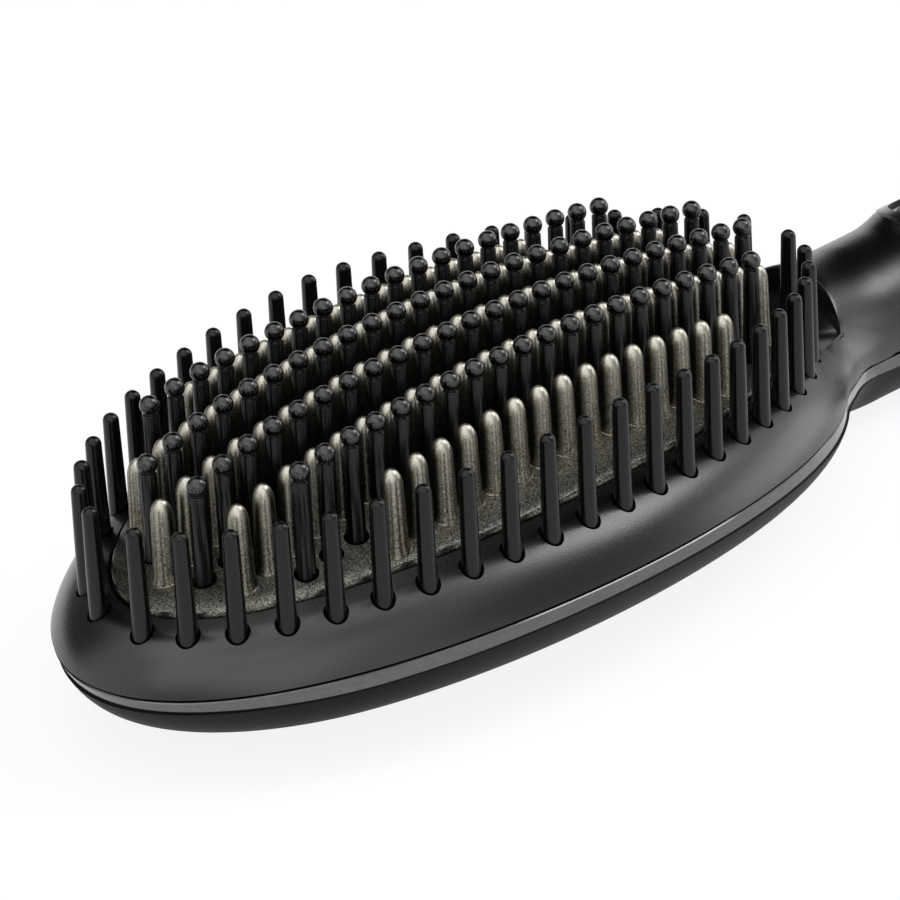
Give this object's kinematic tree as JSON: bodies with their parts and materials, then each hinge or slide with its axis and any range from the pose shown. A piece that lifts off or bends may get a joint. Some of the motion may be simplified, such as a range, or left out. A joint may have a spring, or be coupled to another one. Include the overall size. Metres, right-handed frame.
{
  "type": "heated styling brush",
  "caption": "Heated hair brush: oval head with a crowned metal plate, heated fingers, ball-tipped bristles and outer bristles, on a round handle with a press button and a swivel cord inlet.",
  "frame": {"origin": "on the rest plane, straight under the middle of the oval head", "axes": "+X from the head to the handle, +Z out of the bristle side, +Y to the left of someone who looks along +X"},
  "size_m": [0.2835, 0.066, 0.0396],
  "materials": {
    "front_plastic": "satin",
    "back_plastic": "matte",
    "trim_plastic": "gloss",
    "plate_coating": "satin metallic coating",
    "bristle_nylon": "semi-gloss",
    "outer_bristle_nylon": "satin",
    "heater_casing": "plain",
    "mica": "flaky",
    "clamp_steel": "brushed",
    "screw_steel": "zinc plated",
    "fuse_sleeve": "woven sleeve",
    "terminal_plastic": "matte",
    "lead_silicone_red": "matte",
    "lead_silicone_white": "matte",
    "sensor_epoxy": "gloss",
    "lead_silicone_black": "matte",
    "board_laminate": "solder mask",
    "capacitor_case": "gloss",
    "triac_case": "matte",
    "switch_case": "matte",
    "plunger_plastic": "matte",
    "led_case": "clear",
    "button_plastic": "satin",
    "light_ring_plastic": "translucent white",
    "bezel_plastic": "gloss",
    "cap_plastic": "matte",
    "gland_plastic": "matte"
  },
  "bodies": {
    "brush": {"front_shell": "front_plastic", "back_shell": "back_plastic", "trim_band": "trim_plastic", "heater_plate": "plate_coating", "bristle_strip_right_outer": "bristle_nylon", "bristle_strip_right_inner": "bristle_nylon", "bristle_strip_left_inner": "bristle_nylon", "bristle_strip_left_outer": "bristle_nylon", "bristle_frame": "outer_bristle_nylon", "ptc_heater_right": "heater_casing", "ptc_heater_middle": "heater_casing", "ptc_heater_left": "heater_casing", "mica_sheet": "mica", "heater_clamp_plate": "clamp_steel", "clamp_screws": "screw_steel", "thermal_fuse": "fuse_sleeve", "heater_terminal_block": "terminal_plastic", "fuse_lead": "lead_silicone_red", "heater_return_lead": "lead_silicone_white", "temperature_sensor": "sensor_epoxy", "sensor_lead": "lead_silicone_black", "control_board": "board_laminate", "board_screws": "screw_steel", "filter_capacitor": "capacitor_case", "triac": "triac_case", "tact_switch": "switch_case", "status_leds": "led_case", "light_ring": "light_ring_plastic", "button_bezel": "bezel_plastic", "shell_screws": "screw_steel", "end_cap": "cap_plastic", "contact_block": "terminal_plastic", "live_lead": "lead_silicone_red", "neutral_lead": "lead_silicone_white"},
    "button": {"power_button": "button_plastic"},
    "plunger": {"switch_plunger": "plunger_plastic"},
    "swivel": {"swivel_gland": "gland_plastic", "swivel_retainer": "screw_steel"}
  },
  "joints": [
    {"name": "power_button_press", "type": "slide", "parent": "brush", "child": "button", "axis": [0, 0, -1], "range_m": [0, 0.0003], "stiffness_N_per_m": 3000},
    {"name": "switch_plunger_press", "type": "slide", "parent": "brush", "child": "plunger", "axis": [0, 0, -1], "range_m": [0, 0.0003]},
    {"name": "swivel_turn", "type": "hinge", "parent": "brush", "child": "swivel", "pos_m": [0.206, 0, 0.0118], "axis": [1, 0, 0], "continuous": true}
  ],
  "couplings": [
    {"joint": "switch_plunger_press", "follows": "power_button_press", "ratio": 1}
  ]
}
